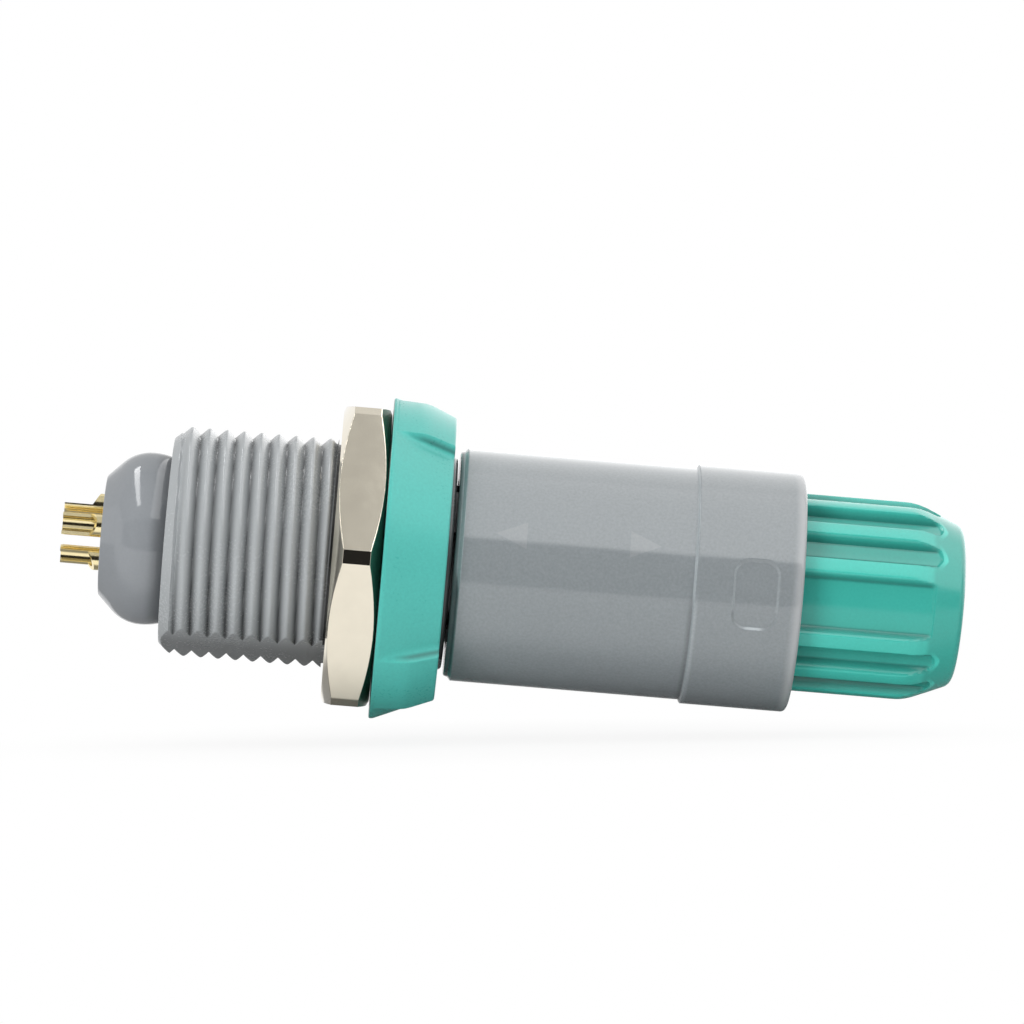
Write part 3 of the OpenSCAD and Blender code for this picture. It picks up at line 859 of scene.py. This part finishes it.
boss.modifiers.clear()
boss.data = drilled
bpy.data.objects.remove(drills)
hand_over(boss, "receptacle", "boss_grey", "rear_insulator")

# %% [markdown]
# ## The thumb recess
#
# The gripping sleeve slides on the plug and is drawn back to unlatch it. Its rear band has a shallow recess
# for the thumb, a rectangle with rounded corners that is bent round the band. A Boolean with a bent block
# would cut it. A rule is simpler: it measures on the surface, along the axis and round it, how far a point
# lies from that outline, and sinks the points inside. The material uses the same distance to paint a
# highlight along the recess's edge.

# %% Recess
sleeve_front = sleeve_low.x
sleeve_rear = sleeve_high.x
sleeve_r = 7.1 * MM
band_front = sleeve_rear - 6.6 * MM
band_r = sleeve_high.z
recess_mid = sleeve_rear - 2.85 * MM
recess_angle = math.radians(-2.3)
recess_w = 2.65 * MM
recess_len = 4.17 * MM
recess_corner = 0.9 * MM
recess_depth = 0.15 * MM
recess_edge = 0.1 * MM
band_skin = mm(7.0, 7.1)


def off_recess(x, angle, middle, width, length):
    """The distance on the surface to the recess's outline: below 0 inside."""
    along = (x - middle).size() - (width / 2 - recess_corner)
    along = along.at_least(0)
    round_it = (angle - recess_angle).size() * band_r - (length / 2 - recess_corner)
    round_it = round_it.at_least(0)
    return (along * along + round_it * round_it).root() - recess_corner


def recess_rule(x, r, angle, middle, width, length, depth):
    off = off_recess(x, angle, middle, width, length)
    sunk = 1 - off.step(-recess_edge, recess_edge)
    outside = r.step(*band_skin)
    return r - sunk * outside * depth


print("recess of %.1f by %.1f mm" % (recess_w / MM, recess_len / MM))

# %% [markdown]
# ## Printed arrowheads
#
# Two plain arrowheads are printed on the sleeve in a paler grey, one for each way that it can be pushed or
# pulled. A print has no thickness worth modelling, so it is a mask in the material. An image could hold it,
# but a rule stays sharp: a point is in an arrowhead where its distance from the middle line is less than
# the room left to the tip.

# %% Arrowheads
arrow_angle = math.radians(17.5)
arrow_len = 1.85 * MM
arrow_half_width = 0.82 * MM
arrow_tips = ((6.67 * MM, -1), (16.62 * MM, 1))
print_edge = 0.05 * MM


def arrowhead(x, angle, tip, way):
    """1 inside an arrowhead with its tip at that place, pointing along the axis (1) or against it (-1)."""
    room = (tip - x) * way
    aside = (angle - arrow_angle).size() * sleeve_r
    inside = room * (arrow_half_width / arrow_len) - aside
    return inside.step(-print_edge, print_edge) * (1 - room.step(arrow_len, arrow_len + print_edge))


print(len(arrow_tips), "arrowheads of %.2f mm" % (arrow_len / MM))

# %% [markdown]
# ## Painted light and shade on the sleeve
#
# Light and shade are painted into the sleeve's colour at its edges: painted shade on the collar in front
# and at the foot of the step up to the wider band, and painted highlights on the collar's shoulder and on
# the step. Painting that by hand is slow and breaks when a size changes, so two small rules say how much
# lighter or darker a point is. `low` is 1 on the lower half, where light comes from the table instead of
# from the lamps.

# %% Painted light and shade on the sleeve
collar_len = 0.44 * MM
collar_dark_part = 0.5
collar_fade = 0.12 * MM
shoulder_rise = 0.05 * MM
shoulder_fall = 0.06 * MM
collar_shade = 0.35
low_collar_shade = 0.25
shoulder_painted_highlight = 0.45
step_painted_highlight = 0.55
edge_painted_highlight = 0.3
foot_shade = 0.25
step_rise = mm(-0.03, 0, 0.1, 0.15)
step_edge = mm(0, 0.08, 0.2, 0.4)
step_foot = mm(-0.35, -0.05, 0, 0.04)


def collar_light(x, low):
    """Painted shade on the collar in front, on its whole length below and only at its front above, with a
    painted highlight on its shoulder above.
    """
    dark_end = sleeve_front + collar_len * (collar_dark_part + (1 - collar_dark_part) * low)
    collar = 1 - x.step(dark_end - collar_fade, dark_end)
    collar_end = sleeve_front + collar_len
    shoulder = x.band(dark_end - shoulder_rise, dark_end, collar_end, collar_end + shoulder_fall)
    return shoulder * (1 - low) * shoulder_painted_highlight - collar * (collar_shade + low * low_collar_shade)


def step_light(x, low):
    """A painted highlight on the step to the band above. Below, a painted highlight on its edge and a painted
    shadow at its foot.
    """
    rise = x.band(*shifted(band_front, step_rise))
    edge = x.band(*shifted(band_front, step_edge))
    foot = x.band(*shifted(band_front, step_foot))
    return rise * (1 - low) * step_painted_highlight + (edge * edge_painted_highlight - foot * foot_shade) * low


print("wear rules for the collar and the step")

# %% [markdown]
# ## A painted highlight on the recess's edge
#
# A painted highlight lies along the recess's edge: most in the middle of its lower end, less along its
# left side and least along its right. The Pointiness of the Geometry node would find every edge alike, so
# the highlight follows the outline that sinks the recess, and the clock angle says which stretch of it is
# painted.

# %% Painted highlight on the recess edge
side_painted_highlight = 0.36
right_side_part = 0.4
bottom_painted_highlight = 0.7
outline_reach = mm(0.03, 0.11)
left_reach = 0.5 * MM
middle_reach = mm(0.2, 0.85)
side_turn = (-0.22, -0.16, 0.17, 0.23)
bottom_turn = (-0.31, -0.28)


def recess_light(x, angle):
    """A painted highlight on the recess's outline, along its sides and in the middle of its lower end."""
    off = off_recess(x, angle, recess_mid, recess_w, recess_len)
    on_outline = 1 - off.size().step(*outline_reach)
    left = 1 - x.step(recess_mid - left_reach, recess_mid + left_reach)
    side = angle.band(*side_turn) * (right_side_part + (1 - right_side_part) * left)
    in_middle = 1 - (x - recess_mid).size().step(*middle_reach)
    bottom = (1 - angle.step(*bottom_turn)) * in_middle
    return on_outline * (side * side_painted_highlight + bottom * bottom_painted_highlight)


print("wear rule for the recess")

# %% [markdown]
# ## Gripping sleeve
#
# The sleeve's grey plastic has the coarsest grain. A Mix node lays the paler grey of the print and of a
# painted highlight along the rear rim over it. The section has a small collar in front, the step up to the
# wider band, a rounded rear rim and the bore with its latch pocket.

# %% Gripping sleeve
print_cover = 0.18
rim_painted_highlight = 0.75
rim_reach = mm(-0.8, -0.2)
lower_half = (-0.25, 0)
collar_drop = 0.28 * MM
shoulder_len = 0.18 * MM
lip_r = 5.1 * MM
lip_rear = sleeve_front + 1.4 * MM
pocket_r = 5.75 * MM
pocket_rear = latch_high.x - 1.6 * MM
sleeve_bore_r = 6.25 * MM


def sleeve_plastic():
    material, shader, tint = plastic("sleeve_grey", (136, 142, 145), 0.12, 0.30, 0.05, 0.001 * MM, ior=1.58)
    x, _, angle = axis_places(object_place(tint))
    arrow_back, arrow_on = [arrowhead(x, angle, *tip) for tip in arrow_tips]
    # the arrowheads are print; the paler rear rim is a painted highlight
    rim = x.step(*shifted(sleeve_rear, rim_reach))
    pale = (arrow_back + arrow_on) * print_cover + rim * rim_painted_highlight
    colours = {0: pale, 6: tint, 7: (*linear(178, 180, 182), 1)}
    printed = pale.node("ShaderNodeMix", {"data_type": "RGBA"}, colours, output=2)
    low = 1 - angle.step(*lower_half)
    shade(shader, printed, 1 + collar_light(x, low) + step_light(x, low) + recess_light(x, angle))
    return material


recess_low = recess_mid - recess_w / 2 - 2 * recess_edge
recess_high = recess_mid + recess_w / 2 + 2 * recess_edge
sleeve_corners = [
    (sleeve_front, lip_r, 0.1 * MM),
    (sleeve_front, sleeve_r - collar_drop, 0.14 * MM),
    (sleeve_front + collar_len - shoulder_len, sleeve_r - collar_drop + 0.06 * MM, 0.04 * MM),
    (sleeve_front + collar_len, sleeve_r, 0.08 * MM),
    (band_front, sleeve_r, 0.06 * MM),
    (band_front + 0.12 * MM, band_r, 0.08 * MM),
    (recess_low, band_r, 0),
    (recess_high, band_r, 0),
    (sleeve_rear, band_r, 0.3 * MM),
    (sleeve_rear, sleeve_bore_r, 0.15 * MM),
    (pocket_rear, sleeve_bore_r, 0),
    (pocket_rear, pocket_r, 0),
    (lip_rear, pocket_r, 0),
    (lip_rear, lip_r, 0),
]
sleeve_section = refine(outline(sleeve_corners), 0.05 * MM, recess_low, recess_high, 7 * MM)
recess_span = (recess_len / 2 + 2 * recess_edge) / band_r
sleeve = turned("gripping_sleeve", sleeve_section, clock_angles(180, [(recess_angle, recess_span, 90)]))
reshape(
    sleeve,
    recess_rule,
    sleeve_plastic(),
    middle=recess_mid,
    width=recess_w,
    length=recess_len,
    depth=recess_depth,
)
hand_over(sleeve, "sleeve", "sleeve_grey", "outer_sleeve")

# %% [markdown]
# ## The rule of the ribs
#
# The green nut behind closes the cable clamp. Its grip has three groups of four ribs with a plain stretch
# between the groups. An Array modifier could copy one rib round the axis, but the groups and the way the
# flutes close at the tapered end would need cuts of their own. The nut is turned over its rib crests
# instead, and the rule presses in the flutes: it finds the nearest rib of the group, and crest, flank and
# floor follow from the distance to that rib's middle. The valleys between two ribs are a little deeper and
# run on a little further than the plain floor.

# %% Ribs
crest_r = 6.08 * MM
floor_r = 5.46 * MM
rib_groups = 3
group_ribs = 4
rib_step = math.radians(25)
rib_first = math.radians(93)
rib_half = 0.46 * MM
rib_flank = 0.26 * MM
valley_drop = 0.14 * MM
valley_run_on = 0.4 * MM
flute_end = 33.6 * MM
flute_rise = 0.6 * MM
flute_close = mm(-0.4, 0.2)
crest_blend = 0.35
floor_blend = 0.3
rim_blend = 0.06 * MM
grip_skin = mm(4.85, 4.95)


def rib_number(angle):
    """A rib's place in its group, from 0 to the last: whole numbers are the middles of ribs."""
    middle = rib_first - rib_step * (group_ribs - 1) / 2
    in_group = (angle - middle).wrapped(math.tau / rib_groups / 2)
    return in_group / rib_step + (group_ribs - 1) / 2


def off_rib(angle, crest):
    """The distance round the crest to the nearest rib's middle."""
    number = rib_number(angle)
    nearest = number.math("ROUND").at_most(group_ribs - 1).at_least(0)
    return (number - nearest).size() * rib_step * crest


def in_valley(angle):
    """1 midway between two ribs of a group, 0 at the ribs and on the plain stretch."""
    number = rib_number(angle)
    inside = number.band(0, 0.5, group_ribs - 1.5, group_ribs - 1)
    return inside * (0.5 - 0.5 * (number * math.tau).cosine())


def rib_rule(x, r, angle, floor, crest, half, flank, drop, run_on, end):
    rise = (half + flank - off_rib(angle, crest)) / flank
    rise = rise.soft_most(1, crest_blend).soft_least(0, floor_blend)
    flute = floor + (crest - floor) * rise - in_valley(angle) * drop
    beyond = x - in_valley(angle) * run_on
    closing = beyond.step(*shifted(end, flute_close)) * flute_rise
    pressed = r.soft_most(flute + closing, rim_blend)
    return r + (pressed - r) * r.step(*grip_skin)


print(rib_groups, "groups of", group_ribs, "ribs")

# %% [markdown]
# ## The collet nut's plastic
#
# The nut is a glossier green than the ring. Its colour holds painted light: a painted highlight on the
# crests, a painted shadow at the foot of each rib, painted shade in the valleys, and a painted highlight at
# the rounded end of each valley. The material uses the same measures round the axis as the rule of the
# ribs, so the painted light and shade stay on the ribs when a size changes.

# %% Collet nut's plastic
crest_painted_highlight = 0.28
rib_foot_shade = 0.42
rib_foot_half = 0.22 * MM
valley_shade = 0.12
end_painted_highlight = 0.6
crest_reach = mm(-0.05, 0.1)
flute_fade = mm(-0.6, -0.2)
gleam_stretch = mm(-0.3, -0.1, 0, 0.15)


def nut_plastic():
    material, shader, tint = plastic("nut_green", (60, 173, 160), 0.2, 0.14, 0.07, 0.001 * MM)
    x, height, angle = axis_places(object_place(tint))
    off = off_rib(angle, crest_r)
    on_crest = 1 - off.step(*shifted(rib_half, crest_reach))
    at_foot = 1 - (off - rib_half - rib_flank).size().step(0, rib_foot_half)
    valley = in_valley(angle)
    beyond = x - valley * valley_run_on
    in_flute = 1 - beyond.step(*shifted(flute_end, flute_fade))
    at_end = beyond.band(*shifted(flute_end, gleam_stretch))
    # painted highlights on crests and valley ends, painted shadow at rib feet and painted shade in valleys
    rib_painted_light = on_crest * crest_painted_highlight - at_foot * rib_foot_shade - valley * valley_shade
    outside = height.step(*grip_skin)
    shade(shader, tint, 1 + (rib_painted_light * in_flute + at_end * valley * end_painted_highlight) * outside)
    return material


nut_green = nut_plastic()
print("plastic:", nut_green.name)

# %% [markdown]
# ## Ribbed collet nut
#
# The section runs along the rib crests, bends into the tapered end and comes back through the cable hole,
# the clamp's cone and the thread's bore. The angles are finer across each rib, so its flanks stay straight.

# %% Collet nut
grip_front = grip_low.x
grip_rear = grip_high.x
taper_front = grip_rear - 2.95 * MM
end_slope = math.radians(23)
cable_hole_r = 3.3 * MM
grip_thread_r = 4.75 * MM
clamp_r = 4.6 * MM
clamp_end_r = 4.0 * MM
clamp_front = body_high.x + 0.3 * MM
clamp_taper = collet_high.x - 3.6 * MM
end_wall = grip_rear - 2.4 * MM
grip_corners = [
    (grip_front, grip_thread_r, 0.1 * MM),
    (grip_front, crest_r, 0.3 * MM),
    (taper_front, crest_r, 4.0 * MM),
    (grip_rear, crest_r - (grip_rear - taper_front) * math.tan(end_slope), 0.7 * MM),
    (grip_rear, cable_hole_r, 0.2 * MM),
    (end_wall, cable_hole_r, 0),
    (end_wall, clamp_end_r, 0),
    (collet_high.x, clamp_end_r, 0),
    (clamp_taper, clamp_r, 0),
    (clamp_front, clamp_r, 0),
    (clamp_front, grip_thread_r, 0),
]
grip_section = refine(outline(grip_corners, steps=10), 0.07 * MM, taper_front - MM, grip_rear, 4.9 * MM)
rib_marks = []
for g in range(rib_groups):
    for k in range(group_ribs):
        rib_middle = rib_first + g * math.tau / rib_groups - k * rib_step
        rib_marks.append((rib_middle, 0.18, 32))
grip = turned("ribbed_nut", grip_section, clock_angles(240, rib_marks))
reshape(
    grip,
    rib_rule,
    nut_green,
    floor=floor_r,
    crest=crest_r,
    half=rib_half,
    flank=rib_flank,
    drop=valley_drop,
    run_on=valley_run_on,
    end=flute_end,
)
hand_over(grip, "cable_nut", "nut_green", "collet_nut")

# %% [markdown]
# ## Pieces that keep their solid's shape
#
# The contacts, insulators, latch sleeve, clamp and the plug's inner body are right as they are packed:
# their edges are hidden or finer than the view shows. They could be turned again like the others, but
# nothing would be gained, so they only get their finishes.

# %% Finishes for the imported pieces
finishes = {
    "plug_body": shell_grey,
    "latch_sleeve": shell_grey,
    "carrier_half_upper": ivory_plastic,
    "carrier_half_lower": ivory_plastic,
    "collet": ivory_plastic,
    "socket_insulator": insulator_dark,
    "pin_insulator": insulator_dark,
}
for k in range(1, contact_count + 1):
    finishes["socket_contact_%d" % k] = gold_plate
    finishes["pin_contact_%d" % k] = gold_plate
for name, material in finishes.items():
    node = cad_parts[name]
    node.data.materials.clear()
    node.data.materials.append(material)
print("finished", len(finishes), "packed pieces")

# %% [markdown]
# ## Floor
#
# The photo is a product shot on white. A pale floor lies under the ring and the sleeve's band as a table
# would, a little below them, and slopes with the line that joins the two. It ends in front of the object,
# so that the dark room behind the camera can show in the glossy pieces. A plane that is turned by hand
# would do as well. Here its slope follows from the two radii.

# %% Floor sheet
scene = bpy.context.scene
scene.view_settings.view_transform = "Standard"
rest_slope = (ring_r - band_r) / (sleeve_rear - ring_land)
floor_drop = 1.5 * MM
floor_size = 4.0
floor_front = -39 * MM
floor_mesh = bpy.data.meshes.new("floor")
work = bmesh.new()
bmesh.ops.create_grid(work, x_segments=1, y_segments=1, size=floor_size / 2)
bmesh.ops.translate(work, vec=(0, floor_front + floor_size / 2, 0), verts=work.verts)
tilt = Matrix.Rotation(-math.atan(rest_slope), 4, "Y")
lowered = Matrix.Translation((0, 0, -ring_r - floor_drop))
bmesh.ops.transform(work, matrix=lowered @ tilt, verts=work.verts)
work.to_mesh(floor_mesh)
work.free()
floor = bpy.data.objects.new("floor", floor_mesh)
scene.collection.objects.link(floor)
print("floor tilts by %.1f degrees" % math.degrees(math.atan(rest_slope)))

# %% [markdown]
# ## White for the camera, a shadow and a dim patch
#
# The camera should see white, but a floor that glows would flood the pieces with light. The Light Path node
# tells the kinds of rays apart: those from the camera, off gloss and through glass meet white, and all
# others meet plain pale paint. Close to the object the camera sees a share of the paint, which keeps the
# soft shadow. Right under the object the mirrored rays meet a dimmer paint, because that patch lies in the
# object's own shade.

# %% Floor finish
shadow_share = 0.1
shadow_middle = (8 * MM, 0, 0)
shadow_reach = mm(14, 38)
under_middle = 8 * MM
under_reach = mm(12, 19)
pale_grey = (0.85, 0.85, 0.85, 1)
dim_grey = (0.4, 0.4, 0.4, 1)
pure_white = (1, 1, 1, 1)


def ray_kind(start, name):
    """1 for rays of one kind, such as Is Camera Ray."""
    return start.node("ShaderNodeLightPath", output=name)


def background_rays(start):
    """1 for the rays that should meet a white background: from the camera, off gloss and through glass."""
    seen = ray_kind(start, "Is Camera Ray")
    for name in ("Is Glossy Ray", "Is Transmission Ray"):
        seen = seen.at_least(ray_kind(start, name))
    return seen


pale_floor = bpy.data.materials.new("pale_floor")
pale_floor.use_nodes = True
pale_floor.node_tree.nodes.clear()
start = Wire(pale_floor.node_tree)
pale_paint = start.node("ShaderNodeBsdfDiffuse", sockets={"Color": pale_grey})
dim_paint = start.node("ShaderNodeBsdfDiffuse", sockets={"Color": dim_grey})
white = start.node("ShaderNodeEmission", sockets={"Color": pure_white, "Strength": 1.0})
place = object_place(start)
ends = {0: place, 1: shadow_middle}
far = start.node("ShaderNodeVectorMath", {"operation": "DISTANCE"}, ends, output="Value")
shadow = (1 - far.step(*shadow_reach)) * shadow_share
aside = (parts(place)[1] - under_middle).size()
under = (1 - aside.step(*under_reach)) * (1 - ray_kind(start, "Is Camera Ray"))
share = background_rays(start) * (1 - shadow) * (1 - under)
mirrored = under * ray_kind(start, "Is Glossy Ray")
paint = start.node("ShaderNodeMixShader", sockets={0: mirrored, 1: pale_paint, 2: dim_paint})
surface = start.node("ShaderNodeMixShader", sockets={0: share, 1: paint, 2: white})
surface.feed(pale_floor.node_tree.nodes.new("ShaderNodeOutputMaterial"), "Surface")
floor_mesh.materials.append(pale_floor)
print("the shadow keeps %.0f%% of the paint" % (100 * shadow_share))

# %% [markdown]
# ## White room
#
# All round the object the studio is white. The World's Background shader gives that: full white for the
# rays that show a background, and less for the rays that carry light to the pieces, so that the room only
# fills the shadows.

# %% White room
room_light = 0.42
world = bpy.data.worlds.new("white_room")
scene.world = world
world.use_nodes = True
background = world.node_tree.nodes["Background"]
seen = background_rays(Wire(world.node_tree))
(seen + (1 - seen) * room_light).feed(background, "Strength")
background.inputs["Color"].default_value = pure_white
print("room light", room_light)

# %% [markdown]
# ## Soft lamps
#
# Three wide area lamps light the pieces: a key lamp on the left, a weaker one on the right that fills its
# shadows, and one overhead. They are hidden from the camera and from reflections, because the cards of the
# next step are what the glossy pieces mirror. One lamp for both jobs would be closer to a real studio, but
# brightness and mirror image could then not be set apart.


# %% Lamps
object_middle = Vector((8 * MM, 0, 0))


def point_at(thing, place, target):
    """Puts a lamp at a place and turns it to a target."""
    thing.location = place
    thing.rotation_mode = "QUATERNION"
    thing.rotation_quaternion = (Vector(target) - Vector(place)).to_track_quat("-Z", "Y")


def soft_light(name, offset, size, power):
    """A wide lamp at an offset from the object's middle, shining on it."""
    light = bpy.data.lights.new(name, "AREA")
    light.shape = "RECTANGLE"
    light.size = size[0]
    light.size_y = size[1]
    light.energy = power
    lamp = bpy.data.objects.new(name, light)
    scene.collection.objects.link(lamp)
    point_at(lamp, object_middle + Vector(offset), object_middle)
    lamp.visible_camera = False
    lamp.visible_glossy = False
    return lamp


key = soft_light("key", (-0.26, -0.33, 0.05), (0.2, 0.2), 0.88)
fill = soft_light("fill", (0.25, -0.33, 0.02), (0.3, 0.2), 0.4)
overhead = soft_light("overhead", (0.0, -0.03, 0.34), (0.5, 0.3), 0.5)
print("lit by", key.name, fill.name, overhead.name)

# %% [markdown]
# ## Cards that the gloss mirrors
#
# A product shot is shaped by what stands round the object. Behind the camera the room is dark, and it shows
# as a dark stripe along the sleeve. Above and behind it are a grey ceiling and backdrop on the left and
# brighter ones on the right, and a narrow strip lamp makes the streak on the boss. Each is a flat card on a
# big cylinder round the axis, placed by its height in degrees above the camera's line, and only reflections
# meet it.

# %% Cards
card_far = 0.25
card_reach = 0.5
bright_from = 0.005
dark_top = 28
ceiling_top = 104


def card(name, far, x_low, x_high, low, high, strength):
    """A studio card that only reflections meet, between two heights in degrees above the camera's line."""
    corners = []
    for height, ends in ((low, (x_low, x_high)), (high, (x_high, x_low))):
        back = -far * math.cos(math.radians(height))
        up = far * math.sin(math.radians(height))
        corners += [(x, back, up) for x in ends]
    mesh = bpy.data.meshes.new(name)
    mesh.from_pydata(corners, [], [(0, 1, 2, 3)])
    material = bpy.data.materials.new(name)
    material.use_nodes = True
    material.node_tree.nodes.clear()
    glow = Wire(material.node_tree).node("ShaderNodeEmission", sockets={"Strength": strength})
    glow.feed(material.node_tree.nodes.new("ShaderNodeOutputMaterial"), "Surface")
    mesh.materials.append(material)
    made = bpy.data.objects.new(name, mesh)
    scene.collection.objects.link(made)
    made.visible_camera = False
    made.visible_diffuse = False
    made.visible_shadow = False
    made.visible_transmission = False
    return made


cards = [
    card("dark_room", card_far, -card_reach, card_reach, -16, dark_top, 0.02),
    card("grey_ceiling", card_far, -card_reach, bright_from, dark_top, ceiling_top, 0.52),
    card("softbox", card_far, bright_from, card_reach, dark_top, ceiling_top, 2.5),
    card("grey_backdrop", card_far, -card_reach, bright_from, ceiling_top, 160, 0.75),
    card("backdrop", card_far, bright_from, card_reach, ceiling_top, 178, 2.1),
    card("strip", 0.16, -0.092, -0.064, 46, 118, 7.5),
]
print("cards:", [made.name for made in cards])

# %% [markdown]
# ## Camera
#
# The camera stands a little left of the ring, because circles there are seen exactly edge on and bow to the
# right further along. Its distance and lens follow from how fast that bow grows and from the scale of the
# picture. It is rolled a little, as the connector lies on its ring and band and so slopes to the right. A
# Track To constraint would aim it too, but could not roll it.

# %% Camera
photo_px = 1024
px_per_mm = 16.4
camera_far = 344 * MM
camera_foot = -2.4 * MM
aim_x = 7.7 * MM
aim_z = 3.46 * MM
axis_slope = math.radians(4.77)
lens_px = px_per_mm * camera_far / MM

eye = Vector((camera_foot, -camera_far, aim_z))
aim = Vector((aim_x, 0, aim_z))
forward = (aim - eye).normalized()
level = forward.cross(Vector((0, 0, 1))).normalized()
right = (Matrix.Rotation(-axis_slope, 3, forward) @ level).normalized()
up = right.cross(forward)
camera_data = bpy.data.cameras.new("camera")
camera_data.sensor_width = 36.0
camera_data.lens = lens_px * camera_data.sensor_width / photo_px
camera = bpy.data.objects.new("camera", camera_data)
scene.collection.objects.link(camera)
camera.matrix_world = Matrix.Translation(eye) @ Matrix((right, up, -forward)).transposed().to_4x4()
scene.camera = camera
print("lens %.0f mm" % camera_data.lens)
